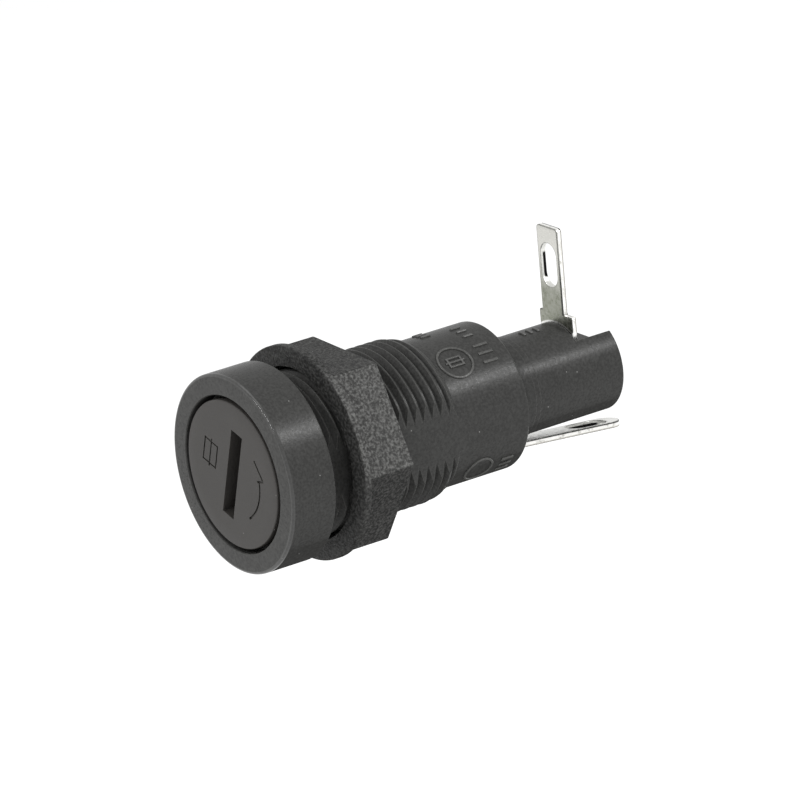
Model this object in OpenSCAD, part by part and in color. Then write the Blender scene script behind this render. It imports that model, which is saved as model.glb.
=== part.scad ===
// Panel-mount cartridge fuse holder for a 5 x 20 mm glass fuse, with a slotted bayonet carrier.
// The origin is on the axis, in the flange's rear face, where the panel's front surface lies.
// +Y runs rearwards into the panel, +Z points towards the upper solder tag, +X to the right.
// Angles "phi" turn about the axis from +Z towards +X, which is clockwise seen from the front.

/* [Flange and barrel] */
// Outer diameter of the front flange
flange_d = 14.5; // [14:0.1:18]
// Thickness of the front flange
flange_t = 3.7; // [3.4:0.1:5]
// Major diameter of the mounting thread
thread_d = 12; // [11.6:0.1:12.4]
// Pitch of the mounting thread
thread_pitch = 0.75; // [0.7:0.01:0.8]
// Number of thread ridges
thread_ridges = 15; // [10:1:15]
// Width across the two flats that stop the holder turning in its panel hole
across_flats = 10.6; // [10.2:0.1:11.8]
// Length of the threaded part and the plain barrel behind the flange
barrel_len = 18.15; // [17.5:0.05:19]
// Diameter of the plain barrel
barrel_d = 10.88; // [10.8:0.02:11]

/* [Rear tube] */
// Diameter of the rear tube
tube_d = 7.24; // [7:0.02:7.4]
// Distance from the panel seat to the rear end of the tube
tube_end = 27.95; // [27:0.05:29]
// Width of the slot in the top of the tube behind the upper tag
slot_w = 4.6; // [4.2:0.1:4.8]

/* [Nut] */
// Gap between the flange and the nut, which is the panel's place
panel_gap = 2.05; // [2:0.05:3]
// Width across the hexagon's flats
nut_af = 13.2; // [13:0.1:14]
// Thickness of the whole nut
nut_t = 4.4; // [3:0.1:5]
// Diameter of the round collar on the nut's front
collar_d = 15.6; // [15:0.1:17]
// Turn of the hexagon's first corner from +Z
nut_turn = -28; // [-60:1:60]

/* [Carrier] */
// Diameter of the carrier's front disc
disc_d = 10.8; // [10.6:0.1:11.2]
// Turn of the screwdriver slot from +Z
cap_turn = 17.6; // [0:0.1:60]
// Length of the screwdriver slot
driver_slot_l = 6.8; // [5:0.1:8]
// Width of the screwdriver slot
driver_slot_w = 1.3; // [0.9:0.05:1.5]

/* [Fuse] */
// Diameter of the fuse's metal end caps
fuse_d = 5.2; // [5.1:0.05:5.3]
// Length of the fuse
fuse_l = 20; // [19.5:0.1:20]

/* [Tags] */
// Thickness of the tinned sheet
sheet_t = 0.45; // [0.4:0.05:0.5]
// Height of the upper tag's end above the axis
upper_tag_top = 10.8; // [9.5:0.1:12]
// Distance from the panel seat to the side tag's tip
side_tag_end = 29.1; // [27:0.1:31]
// Angle at which the side tag splays away from the tube
side_splay = 4.8; // [0:0.1:8]
// Turn of the side terminal about the axis, from straight below towards +X
side_turn = 8; // [0:0.5:10]

/* [Hidden] */

$fn = 96;
eps = 0.02;
far = 40;
running_gap = 0.05;

black_plastic = [0.09, 0.09, 0.095];
nut_plastic = [0.16, 0.16, 0.16];
tinned_brass = [0.80, 0.79, 0.75];
nickel = [0.78, 0.77, 0.74];
spring_steel = [0.70, 0.70, 0.72];
clear_glass = [0.85, 0.92, 0.94, 0.4];

flange_r = flange_d / 2;
barrel_r = barrel_d / 2;
flange_edge_r = 0.22;
edge_chamfer = 0.15;
rim_chamfer = 0.1;

// Thread: 60 degree ridges with flat crests. Each stands as a closed ring.
crest_r = thread_d / 2;
ridge_h = 0.46;
root_r = crest_r - ridge_h;
beyond_crest_r = crest_r + 1;
crest_w = thread_pitch / 8;
thread_root_depth = 0.7;
first_ridge_y = 1.05;
thread_end = first_ridge_y + thread_ridges * thread_pitch - 0.4;
lead_drop = 0.3;
lead_taper = 0.25;

// Shallow ring sunk in the panel seat, so that the seat ends outside the thread
seat_relief_r = crest_r + 0.15;
seat_relief_depth = 0.1;

// Bores of the holder, from the front to the rear
disc_gap = 0.32;
recess_r = disc_d / 2 + disc_gap;
recess_depth = 1.35;
recess_floor = -flange_t + recess_depth;
bore_r = 4.4;
groove_r = 4.85;
groove_front = -0.35;
groove_rear = 1.25;
entry_w = 2.7;
shoulder_wall = 1;
tube_bore_r = 2.85;
tube_r = tube_d / 2;
tube_step_h = 0.05;
tube_step_l = 0.45;
tube_step_end = barrel_len + 1.85;
core_hole_r = 1.2;
top_slot_floor = 1.7;

// Upper tag: a plate that drops into a pocket behind the spring
plate_front = 24.9;
plate_rear = plate_front + sheet_t;
plate_w = 3.74;
plate_bottom = -2.1;
tag_shoulder = 4.35;
tag_w = 2.4;
tag_shift = -0.3;
tag_hole_w = 1.8;
tag_hole_l = 3.25;
tag_hole_high = upper_tag_top - 1.25;
tag_hole_low = tag_hole_high - tag_hole_l;

// Side tag: a strip along the bottom of the barrel bore, and out through the shoulder
strip_top = -3.7;
strip_low = strip_top - sheet_t;
strip_wide = 3.2;
strip_neck_y = barrel_len - shoulder_wall - 0.15;
tongue_front = 4.6;
bend_y = barrel_len + 0.25;
side_hole_far = side_tag_end - 1.05;
side_hole_near = side_hole_far - tag_hole_l;
sheet_gap = 0.05;

// Carrier
disc_t = 1.25;
disc_rear = -flange_t + disc_t;
disc_chamfer = 0.08;
neck_chamfer = 0.2;
neck_r = 4.3;
neck_end = 2.4;
lug_r = 4.75;
lug_w = 2.5;
lug_front = -0.27;
lug_t = 1;
driver_slot_depth = 1.8;
sleeve_r = 3;
sleeve_t = 0.32;
sleeve_front = -0.35;
sleeve_end = 8.2;
sleeve_floor_t = 0.3;
grip_y = 3.8;
grip_dip = sleeve_r - sleeve_t - fuse_d / 2 - eps;
grip_reach = 0.6;
slit_w = 0.5;
slit_start = 2.9;
mark_depth = 0.12;
mark_line = 0.17;
bar_line = 0.2;
symbol_line = 0.15;
near_mark_phi = 36;
low_mark_phi = 130.5;
top_mark_phi = -9;
tube_mark_phi = 2;
arrow_r = 3.3;

// Fuse, from y = 0
cap_l = 5;
cap_wall = 0.2;
cap_end_t = 0.25;
cap_chamfer = 0.15;
glass_r = fuse_d / 2 - cap_wall - eps;
glass_bore_r = 1.75;
wire_r = 0.1;
solder_r = 0.9;
solder_t = 0.5;

// Sprung rear contact
cup_gap = 0.1;
cup_r = tube_bore_r - cup_gap;
cup_front = fuse_l + running_gap;
cup_t = 0.4;
cup_l = 2.2;
cup_wall = 0.3;
cup_chamfer = 0.2;
coil_wire_r = 0.22;
coil_r = 1.95;
coil_turns = 5;
coil_sides = 10;
coil_steps = 28;

// Turns a shape whose axis is +Z so that its axis is +Y.
module along_y() {
    rotate([-90, 0, 0]) children();
}

// Turns a shape that points to +Z round the axis to the angle phi.
module at_phi(phi) {
    rotate([0, phi, 0]) children();
}

// Turned shape from [radius, y] points.
module turned(points) {
    along_y() rotate_extrude() polygon(points);
}

// Round bar along the axis from y0 to y1.
module bar(r, y0, y1) {
    translate([0, y0, 0]) along_y() cylinder(r = r, h = y1 - y0);
}

// Box given by its lowest and highest corners.
module box(low, high) {
    translate(low) cube(high - low);
}

// Slot with round ends, in the XY plane, along Y from y0 to y1.
module obround(w, y0, y1) {
    translate([-w / 2, y0 + w / 2]) square([w, y1 - y0 - w]);
    translate([0, y0 + w / 2]) circle(r = w / 2);
    translate([0, y1 - w / 2]) circle(r = w / 2);
}

// Outline of thread rings from the inner radius r_in out to the tips, one ring at each y in ys.
function ring_outline(ys, r_in, r_base, r_tip) =
    let (half_tip = crest_w / 2, half_base = half_tip + abs(r_tip - r_base) * tan(30))
    concat(
        [[r_in, ys[0] - half_base]],
        [for (y = ys) each [
            [r_base, y - half_base],
            [r_tip, y - half_tip],
            [r_tip, y + half_tip],
            [r_base, y + half_base]
        ]],
        [[r_in, ys[len(ys) - 1] + half_base]]
    );

// Raised mark on a round surface of radius r: what stands inside a thin skin over the surface.
module raised_mark(r, y, phi) {
    intersection() {
        bar(r + mark_depth, thread_end, tube_end);
        at_phi(phi) translate([0, y, r]) children();
    }
}

// Upright line of a raised mark, centred on its place, with its sides along X and Y.
module mark_bar(x, y, w, l) {
    translate([x - w / 2, y - l / 2, -1]) cube([w, l, 2]);
}

// Three upright lines side by side.
module three_bars(spacing, l) {
    for (i = [-1:1]) mark_bar(i * spacing, 0, bar_line, l);
}

// Round outline of a raised mark.
module mark_ring(r) {
    difference() {
        translate([0, 0, -1]) cylinder(r = r, h = 2);
        translate([0, 0, -2]) cylinder(r = r - mark_line, h = 4);
    }
}

// Fuse symbol: a box with a line through it lengthwise.
module fuse_symbol(l, w, line) {
    mark_bar(0, 0, line, l + 0.5);
    mark_bar(-w / 2, 0, line, l);
    mark_bar(w / 2, 0, line, l);
    mark_bar(0, -l / 2, w + line, line);
    mark_bar(0, l / 2, w + line, line);
}

module raised_marks() {
    raised_mark(barrel_r, 13.65, near_mark_phi) {
        mark_ring(1.4);
        fuse_symbol(1.1, 0.7, symbol_line);
    }
    raised_mark(barrel_r, 16.3, near_mark_phi) three_bars(0.75, 1.2);
    raised_mark(barrel_r, 14.2, low_mark_phi) mark_ring(1.2);
    raised_mark(barrel_r, 16.6, low_mark_phi + 2.5) three_bars(0.6, 1);
    raised_mark(barrel_r, 13.75, top_mark_phi) three_bars(0.5, 0.8);
    raised_mark(barrel_r, 16.15, top_mark_phi + 16) three_bars(0.75, 0.8);
    raised_mark(tube_r, 22.4, tube_mark_phi) {
        for (i = [-1:1]) mark_bar(0, i * 0.6, 0.7, bar_line);
    }
}

module body_outside() {
    turned([
        [0, -flange_t],
        for (a = [0:15:90]) [
            flange_r - flange_edge_r + flange_edge_r * sin(a),
            -flange_t + flange_edge_r - flange_edge_r * cos(a)
        ],
        [flange_r, 0],
        [seat_relief_r, 0],
        [seat_relief_r, -seat_relief_depth],
        [root_r, -seat_relief_depth],
        [root_r, thread_end],
        [barrel_r, thread_end + rim_chamfer],
        [barrel_r, barrel_len - edge_chamfer],
        [barrel_r - edge_chamfer, barrel_len],
        [tube_r + 2 * tube_step_h, barrel_len],
        [tube_r + 2 * tube_step_h, tube_step_end],
        [tube_r + tube_step_h, tube_step_end + tube_step_h],
        [tube_r + tube_step_h, tube_step_end + tube_step_l],
        [tube_r, tube_step_end + tube_step_l + tube_step_h],
        [tube_r, tube_end - rim_chamfer],
        [tube_r - rim_chamfer, tube_end],
        [0, tube_end]
    ]);
    ridge_ys = [for (i = [0:thread_ridges - 1]) first_ridge_y + i * thread_pitch];
    intersection() {
        turned(ring_outline(ridge_ys, bore_r + thread_root_depth, root_r - eps, crest_r));
        turned([
            [0, 0],
            [beyond_crest_r, 0],
            [beyond_crest_r, thread_end - (beyond_crest_r - crest_r + lead_drop) / lead_taper],
            [crest_r - lead_drop, thread_end],
            [0, thread_end]
        ]);
    }
    raised_marks();
}

// Cuts the two flats along the whole barrel, from the relief in the panel seat to the barrel's end.
module body_flats() {
    difference() {
        bar(seat_relief_r, -seat_relief_depth, far);
        box([-across_flats / 2, -far, -far], [across_flats / 2, far + 1, far]);
    }
}

module body_bores() {
    bar(recess_r, -far, recess_floor);
    bar(bore_r, -far, barrel_len - shoulder_wall);
    bar(groove_r, groove_front, groove_rear);
    bar(tube_bore_r, 0, plate_front);
    bar(core_hole_r, 0, far);
    // The two ways in for the carrier's lugs
    intersection() {
        bar(groove_r, -flange_t, groove_rear);
        box([-entry_w / 2, -far, -far], [entry_w / 2, far, far]);
    }
    // Keyway for the side terminal's strip, and its way out through the shoulder
    at_phi(-side_turn) {
        box([-strip_wide / 2 - sheet_gap, -far, strip_low - sheet_gap],
            [strip_wide / 2 + sheet_gap, barrel_len - shoulder_wall, 0]);
        box([-tag_w / 2 - sheet_gap, 0, strip_low - sheet_gap],
            [tag_w / 2 + sheet_gap, far, strip_top + sheet_gap]);
    }
    // Pocket and top slot for the rear terminal
    box([-plate_w / 2 - sheet_gap, plate_front - sheet_gap, plate_bottom - sheet_gap],
        [plate_w / 2 + sheet_gap, plate_rear + sheet_gap, far]);
    box([-slot_w / 2, plate_front - sheet_gap, top_slot_floor], [slot_w / 2, far, far]);
}

module holder_body() {
    color(black_plastic) difference() {
        body_outside();
        body_flats();
        body_bores();
    }
}

module hex_nut() {
    collar_t = 0.6;
    thread_clearance = 0.1;
    thread_anchor = 0.3;
    nut_root_r = crest_r + running_gap;
    nut_tip_r = root_r + thread_clearance;
    inner_ys = [for (i = [0:thread_ridges]) let (y = first_ridge_y + (i + 0.5) * thread_pitch)
        if (y - thread_pitch / 2 > panel_gap && y + thread_pitch / 2 < panel_gap + nut_t) y];
    color(nut_plastic) {
        difference() {
            union() {
                at_phi(nut_turn) translate([0, panel_gap, 0]) along_y() rotate(90)
                    cylinder(r = nut_af / 2 / cos(30), h = nut_t, $fn = 6);
                bar(collar_d / 2, panel_gap, panel_gap + collar_t);
            }
            bar(nut_root_r, -far, far);
        }
        turned(ring_outline(inner_ys, nut_root_r + thread_anchor, nut_root_r, nut_tip_r));
    }
}

// Engraved straight line between two [radius, phi] places on the carrier's front.
module engraved_line(a, b) {
    p = [a[0] * sin(a[1]), a[0] * cos(a[1])];
    q = [b[0] * sin(b[1]), b[0] * cos(b[1])];
    run = norm(q - p);
    turn = atan2(q[0] - p[0], q[1] - p[1]);
    translate([p[0], -flange_t - 1, p[1]]) at_phi(turn)
        cube([mark_line, 1 + mark_depth, run]);
}

// Curved arrow that shows which way the carrier turns to come out.
module engraved_arrow() {
    arc_start = 68.4;
    arc_turn = 64;
    translate([0, -flange_t - 1, 0]) along_y() rotate(arc_start - 90)
        rotate_extrude(angle = arc_turn) translate([arrow_r - mark_line / 2, 0])
            square([mark_line, 1 + mark_depth]);
    engraved_line([3.35, 42.4], [3.8, 67]);
    engraved_line([3.8, 67], [3.1, arc_start]);
}

module carrier_cap() {
    color(black_plastic) difference() {
        union() {
            turned([
                [0, -flange_t],
                [disc_d / 2 - disc_chamfer, -flange_t],
                [disc_d / 2, -flange_t + disc_chamfer],
                [disc_d / 2, disc_rear],
                [neck_r, disc_rear],
                [neck_r, neck_end - neck_chamfer],
                [neck_r - neck_chamfer, neck_end],
                [0, neck_end]
            ]);
            intersection() {
                bar(lug_r, lug_front, lug_front + lug_t);
                box([-lug_w / 2, -far, -far], [lug_w / 2, far, far]);
            }
        }
        bar(sleeve_r + eps, sleeve_front, far);
        at_phi(cap_turn) {
            box([-driver_slot_w / 2, -far, -driver_slot_l / 2],
                [driver_slot_w / 2, -flange_t + driver_slot_depth, driver_slot_l / 2]);
            engraved_arrow();
            at_phi(-85) translate([0, -flange_t + 1, 2.75]) rotate([90, 0, 0]) rotate(90)
                translate([0, 0, 2 - mark_depth]) fuse_symbol(1.75, 1.5, symbol_line);
        }
    }
}

module carrier_contact() {
    r_in = sleeve_r - sleeve_t;
    color(nickel) difference() {
        turned([
            [0, sleeve_front],
            [sleeve_r, sleeve_front],
            [sleeve_r, grip_y - grip_reach],
            [sleeve_r - grip_dip, grip_y],
            [sleeve_r, grip_y + grip_reach],
            [sleeve_r, sleeve_end],
            [r_in, sleeve_end],
            [r_in, grip_y + grip_reach],
            [r_in - grip_dip, grip_y],
            [r_in, grip_y - grip_reach],
            [r_in, sleeve_front + sleeve_floor_t],
            [0, sleeve_front + sleeve_floor_t]
        ]);
        for (turn = [45, 135]) at_phi(turn)
            box([-slit_w / 2, slit_start, -far], [slit_w / 2, far, far]);
    }
}

module fuse_tube() {
    color(clear_glass) difference() {
        bar(glass_r, cap_end_t + eps, fuse_l - cap_end_t - eps);
        bar(glass_bore_r, -far, far);
    }
}

// Metal end cap with its closed end at y = 0.
module fuse_cap() {
    r = fuse_d / 2;
    color(nickel) turned([
        [0, 0],
        [r - cap_chamfer, 0],
        [r, cap_chamfer],
        [r, cap_l],
        [r - cap_wall, cap_l],
        [r - cap_wall, cap_end_t],
        [0, cap_end_t]
    ]);
}

// Solder that joins the wire to an end cap, with the cap's inner face at y = 0.
module fuse_solder() {
    color(tinned_brass) turned([
        [wire_r + eps, eps],
        [solder_r, eps],
        [solder_r * 0.75, solder_t * 0.7],
        [wire_r + eps, solder_t]
    ]);
}

// Copies a shape from the fuse's front end to its rear end.
module at_rear_end() {
    translate([0, fuse_l, 0]) mirror([0, 1, 0]) children();
}

module fuse_front_cap() {
    fuse_cap();
}

module fuse_rear_cap() {
    at_rear_end() fuse_cap();
}

module fuse_wire() {
    color(nickel) bar(wire_r, cap_end_t + eps, fuse_l - cap_end_t - eps, $fn = 24);
}

module fuse_front_solder() {
    translate([0, cap_end_t, 0]) fuse_solder();
}

module fuse_rear_solder() {
    at_rear_end() translate([0, cap_end_t, 0]) fuse_solder();
}

module rear_contact_cup() {
    color(nickel) turned([
        [0, cup_front],
        [cup_r - cup_chamfer, cup_front],
        [cup_r, cup_front + cup_chamfer],
        [cup_r, cup_front + cup_l],
        [cup_r - cup_wall, cup_front + cup_l],
        [cup_r - cup_wall, cup_front + cup_t],
        [0, cup_front + cup_t]
    ]);
}

// Point on the coil's wire surface, at a step along the helix and a corner round the wire.
function coil_point(step, corner, y0, y1) =
    let (
        along = step / (coil_turns * coil_steps),
        turn = 360 * coil_turns * along,
        a = 360 * corner / coil_sides,
        r = coil_r + coil_wire_r * cos(a),
        y = y0 + (y1 - y0) * along + coil_wire_r * sin(a)
    )
    [r * sin(turn), y, r * cos(turn)];

module rear_contact_spring() {
    y0 = cup_front + cup_t + coil_wire_r + eps;
    y1 = plate_front - coil_wire_r - eps;
    steps = coil_turns * coil_steps;
    points = [for (s = [0:steps]) for (c = [0:coil_sides - 1]) coil_point(s, c, y0, y1)];
    sides = [for (s = [0:steps - 1]) for (c = [0:coil_sides - 1])
        let (next = (c + 1) % coil_sides)
        [
            s * coil_sides + c,
            (s + 1) * coil_sides + c,
            (s + 1) * coil_sides + next,
            s * coil_sides + next
        ]];
    front_end = [for (c = [0:coil_sides - 1]) c];
    rear_end = [for (c = [coil_sides - 1:-1:0]) steps * coil_sides + c];
    color(spring_steel) polyhedron(points, concat(sides, [front_end, rear_end]));
}

module rear_terminal() {
    corner_r = 0.3;
    neck = tag_w / 2 - corner_r;
    color(tinned_brass) translate([0, plate_rear, 0]) rotate([90, 0, 0])
        linear_extrude(sheet_t) difference() {
            union() {
                translate([-plate_w / 2, plate_bottom])
                    square([plate_w, tag_shoulder - plate_bottom]);
                translate([tag_shift - tag_w / 2, 0]) square([tag_w, upper_tag_top - corner_r]);
                translate([tag_shift - neck, 0]) square([2 * neck, upper_tag_top]);
                for (side = [-1, 1]) translate([tag_shift + side * neck, upper_tag_top - corner_r])
                    circle(r = corner_r);
            }
            translate([tag_shift, 0]) obround(tag_hole_w, tag_hole_low, tag_hole_high);
        }
}

// Strip of a given width whose side view is a list of [y, z] points.
module bent_strip(points, w) {
    translate([-w / 2, 0, 0]) rotate([90, 0, 90]) linear_extrude(w) polygon(points);
}

module side_terminal() {
    touch_z = -sleeve_r - running_gap;
    flat_front = 9.5;
    color(tinned_brass) at_phi(-side_turn) {
        // Tongue that presses on the carrier's sleeve
        bent_strip([
            [flat_front + 0.5, strip_top],
            [flat_front, strip_top],
            [6.9, touch_z],
            [6.1, touch_z],
            [tongue_front, touch_z - 0.44],
            [tongue_front - 0.12, touch_z - 0.86],
            [6, touch_z - sheet_t],
            [6.95, touch_z - sheet_t],
            [flat_front - 0.06, strip_low],
            [flat_front + 0.5, strip_low]
        ], tag_w);
        box([-strip_wide / 2, flat_front, strip_low], [strip_wide / 2, strip_neck_y, strip_top]);
        box([-tag_w / 2, strip_neck_y - 0.5, strip_low], [tag_w / 2, bend_y, strip_top]);
        // Solder tag, splayed away from the tube
        translate([0, bend_y, strip_top]) rotate([-side_splay, 0, 0])
            translate([0, -bend_y, -sheet_t]) linear_extrude(sheet_t) difference() {
                union() {
                    translate([-tag_w / 2, bend_y]) square([tag_w, side_tag_end - bend_y - tag_w / 2]);
                    translate([0, side_tag_end - tag_w / 2]) circle(r = tag_w / 2);
                }
                obround(tag_hole_w, side_hole_near, side_hole_far);
            }
    }
}

holder_body();
hex_nut();
carrier_cap();
carrier_contact();
fuse_tube();
fuse_front_cap();
fuse_rear_cap();
fuse_wire();
fuse_front_solder();
fuse_rear_solder();
rear_contact_cup();
rear_contact_spring();
rear_terminal();
side_terminal();
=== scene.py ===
"""Looks of the panel-mount cartridge fuse holder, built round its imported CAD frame.

Shapes are worked out in millimetres in the frame's own axes. +Y runs rearwards along the axis, +Z points
to the upper solder tag, and the angle phi turns about the axis from +Z towards +X. Blender's units are
metres.
"""
import math

import bmesh
import bpy
import numpy as np
from mathutils import Matrix, Vector


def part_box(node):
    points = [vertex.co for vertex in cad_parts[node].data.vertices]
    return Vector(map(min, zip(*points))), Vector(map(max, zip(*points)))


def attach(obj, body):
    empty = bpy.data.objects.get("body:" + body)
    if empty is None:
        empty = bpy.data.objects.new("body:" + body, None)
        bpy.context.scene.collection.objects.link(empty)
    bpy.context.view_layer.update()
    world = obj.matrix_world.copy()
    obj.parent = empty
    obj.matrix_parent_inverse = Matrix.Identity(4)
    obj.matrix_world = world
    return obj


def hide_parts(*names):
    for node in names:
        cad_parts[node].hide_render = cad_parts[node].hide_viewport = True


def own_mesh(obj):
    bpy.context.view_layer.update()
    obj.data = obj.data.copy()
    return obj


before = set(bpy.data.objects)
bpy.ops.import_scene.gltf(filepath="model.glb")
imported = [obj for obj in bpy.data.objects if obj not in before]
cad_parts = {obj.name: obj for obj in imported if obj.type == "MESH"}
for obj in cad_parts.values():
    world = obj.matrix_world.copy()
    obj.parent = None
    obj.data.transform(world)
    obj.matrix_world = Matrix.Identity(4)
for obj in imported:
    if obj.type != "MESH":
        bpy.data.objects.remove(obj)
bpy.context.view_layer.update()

MM = 0.001
TURN = 2 * math.pi
COLUMNS = 288
WELD = 2e-5
SHARP_ANGLE = math.radians(28)


def node_box(node):
    """Lowest and highest corners of a CAD node, in millimetres."""
    low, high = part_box(node)
    return low / MM, high / MM


# ---- Dimensions in millimetres, read from the frame where a node's box gives them ----

BODY_LOW, BODY_HIGH = node_box("holder_body")
NUT_LOW, NUT_HIGH = node_box("hex_nut")
CAP_HIGH = node_box("carrier_cap")[1]
SLEEVE_LOW, SLEEVE_HIGH = node_box("carrier_contact")
FRONT_CAP_LOW, FRONT_CAP_HIGH = node_box("fuse_front_cap")
REAR_CAP_HIGH = node_box("fuse_rear_cap")[1]
GLASS_LOW, GLASS_HIGH = node_box("fuse_tube")
CUP_LOW, CUP_HIGH = node_box("rear_contact_cup")
COIL_LOW, COIL_HIGH = node_box("rear_contact_spring")
PLATE_LOW, PLATE_HIGH = node_box("rear_terminal")
SIDE_HIGH = node_box("side_terminal")[1]

# Flange
FLANGE_R = BODY_HIGH.x
FACE_Y = BODY_LOW.y
TUBE_END = BODY_HIGH.y
RECESS_R = 5.72
RECESS_FLOOR = -2.35
FLANGE_EDGE_R = 0.22

# Thread, its flats and the seat behind the flange
CREST_R = 6.0
ROOT_R = 5.54
PITCH = 0.75
FIRST_RIDGE = 1.05
THREAD_START = 0.05
THREAD_END = 11.9
THREAD_RUNOUT = 0.45
THREAD_FLANK = math.radians(30)
HALF_FLATS = 5.3
FLAT_CUT_R = 6.1
SEAT_RELIEF_R = 6.15
SEAT_RELIEF_DEPTH = 0.1
LEAD_DROP = 0.3
LEAD_TAPER = 0.25

# Outside of the barrel and the tube
BARREL_R = 5.44
BARREL_END = 18.15
TUBE_R = 3.62
TUBE_STEP_R = 3.72
TUBE_MID_R = 3.67
TUBE_STEPS = (20.0, 20.45)

# Bores, and the slots for the tags
BORE_R = 4.4
GROOVE_R = 4.85
GROOVE_FRONT = -0.35
GROOVE_REAR = 1.25
BORE_END = 17.15
TUBE_BORE_R = 2.85
CORE_HOLE_R = 1.2
ENTRY_HALF_W = 1.35
KEYWAY_HALF_W = 1.65
TAG_SLOT_HALF_W = 1.25
STRIP_TOP = -3.7
STRIP_LOW = -4.15
POCKET_GAP = 0.05
TOP_SLOT_HALF_W = 2.3
TOP_SLOT_FLOOR = 1.7

# Nut
NUT_TURN = math.radians(-28)
NUT_HALF_AF = 6.6
NUT_COLLAR_T = 0.6
NUT_CORNER_R = 0.22
NUT_MOUTH_R = 6.3
NUT_GROOVE_R = 6.25
NUT_TIP_R = 6.05

# Knob of the fuse carrier, and the marks
CAP_TURN = math.radians(17.6)
DRIVER_SLOT = (1.3, 1.8, 6.8)
NECK_R = 4.3
LUG_R = 4.75
LUG_HALF_W = 1.25
LUG_Y = (-0.27, 0.73)
SOCKET_R = 3.02
SOCKET_FLOOR = -0.35
MARK_DEPTH = 0.12
MARK_LINE = 0.17
MARK_BASE = 0.06
MARK_SLOPE = 0.04
SYMBOL_LINE = 0.15
SYMBOL_ENDS = 0.5
ARROW_R = 3.3

# Solder tags
SHEET_T = 0.45
TAG_HALF_W = 1.2
TAG_SHIFT = -0.3
TAG_SHOULDER = 4.35
TAG_HOLE_W = 1.8
TAG_HOLE_L = 3.25
UPPER_HOLE_INSET = 1.25
SIDE_HOLE_INSET = 1.05
SIDE_SPLAY = math.radians(4.8)
SIDE_TURN = math.radians(-8)
STRIP_HALF_W = 1.6
BEND_GAP = 0.25
TONGUE_START = 4.55


# ---- Mesh making ----

def add_object(name, data):
    """New object in the scene."""
    made = bpy.data.objects.new(name, data)
    bpy.context.scene.collection.objects.link(made)
    return made


def finish_mesh(name, bm, body, material, replaces=(), sharp=SHARP_ANGLE):
    """Turns a bmesh in millimetres into a piece that rides on a body."""
    bmesh.ops.remove_doubles(bm, verts=bm.verts, dist=WELD)
    bmesh.ops.recalc_face_normals(bm, faces=bm.faces)
    mesh = bpy.data.meshes.new(name)
    bm.to_mesh(mesh)
    bm.free()
    mesh.transform(Matrix.Scale(MM, 4))
    mesh.shade_smooth()
    mesh.set_sharp_from_angle(angle=sharp)
    piece = add_object(name, mesh)
    piece.data.materials.append(material)
    normals = piece.modifiers.new("normals", "WEIGHTED_NORMAL")
    normals.keep_sharp = True
    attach(piece, body)
    if replaces:
        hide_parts(*replaces)
    return piece


def even_phis(count=COLUMNS):
    """Evenly spaced angles round the axis."""
    return np.arange(count) * TURN / count


def polar(phi, r, y):
    """Point at an angle phi, a radius and a place along the axis."""
    return (r * math.sin(phi), y, r * math.cos(phi))


def add_rows(bm, phis, rows, seam_shift=0):
    """Adds a surface of rows round the axis. Each row gives y and r at every phi. seam_shift is how many
    rows a helix climbs in one turn."""
    count = len(phis)
    grid = []
    for ys, rs in rows:
        ys = np.broadcast_to(ys, (count,))
        rs = np.broadcast_to(rs, (count,))
        grid.append([bm.verts.new(polar(p, r, y)) for p, r, y in zip(phis, rs, ys)])
    for j in range(len(grid) - 1):
        for i in range(count):
            shift = seam_shift if i == count - 1 else 0
            if j + 1 + shift >= len(grid):
                continue
            nxt = (i + 1) % count
            corners = [grid[j][i], grid[j][nxt], grid[j + 1][nxt], grid[j + 1][i]]
            if shift:
                corners[1] = grid[j + shift][nxt]
                corners[2] = grid[j + 1 + shift][nxt]
            bm.faces.new(corners)


def arc(r_centre, y_centre, radius, start, end, steps):
    """Rounded edge as (y, r) rows, with angles in degrees from +r towards +y."""
    angles = np.radians(np.linspace(start, end, steps + 1))
    return [(y_centre + radius * math.sin(a), r_centre + radius * math.cos(a)) for a in angles]


def ridge_rows(r_base, r_tip, y_start, y_end, phase, phis, trim):
    """Rows of a helical ridge from r_base to r_tip. phase is the ridge's place at phi 0. trim(y, r) cuts
    a point's radius back."""
    height = abs(r_tip - r_base)
    half_tip = PITCH / 16
    half_base = half_tip + height * math.tan(THREAD_FLANK)
    rounding = 0.025
    shape = [(half_base, 0.0), (half_tip + height * 0.38, 0.34), (half_tip + height * 0.16, 0.72)]
    shape += [(half_tip + rounding * 0.6, 0.94), (half_tip * 0.5, 1.0)]
    steps = [(-PITCH / 2, 0.0)] + [(-d, h) for d, h in shape] + [(d, h) for d, h in reversed(shape)]
    turns = int((y_end - y_start) / PITCH) + 4
    first = phase - PITCH * (int((phase - y_start) / PITCH) + 2)
    rows = []
    for turn in range(turns):
        for offset, share in steps:
            ys, rs = [], []
            for phi in phis:
                y = first + turn * PITCH + offset + PITCH * phi / TURN
                held = min(max(y, y_start), y_end)
                r = r_base + (r_tip - r_base) * share * ridge_strength(y, y_start, y_end)
                ys.append(held)
                rs.append(trim(held, r))
            rows.append((np.array(ys), np.array(rs)))
    return rows, len(steps)


def ridge_strength(y, y_start, y_end):
    """How high a ridge stands near the thread's ends, from 0 to 1."""
    near = min(y - y_start, y_end - y) / THREAD_RUNOUT
    near = min(max(near, 0.0), 1.0)
    return near * near * (3 - 2 * near)


def box_bmesh(low, high, turn):
    """Box from its corners, turned about the axis by an angle phi."""
    bm = bmesh.new()
    low, high = Vector(low), Vector(high)
    bmesh.ops.create_cube(bm, size=1)
    size = high - low
    place = Matrix.Translation((low + high) / 2) @ Matrix.Diagonal((*size, 1))
    bm.transform(Matrix.Rotation(turn, 4, "Y") @ place)
    return bm


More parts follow.
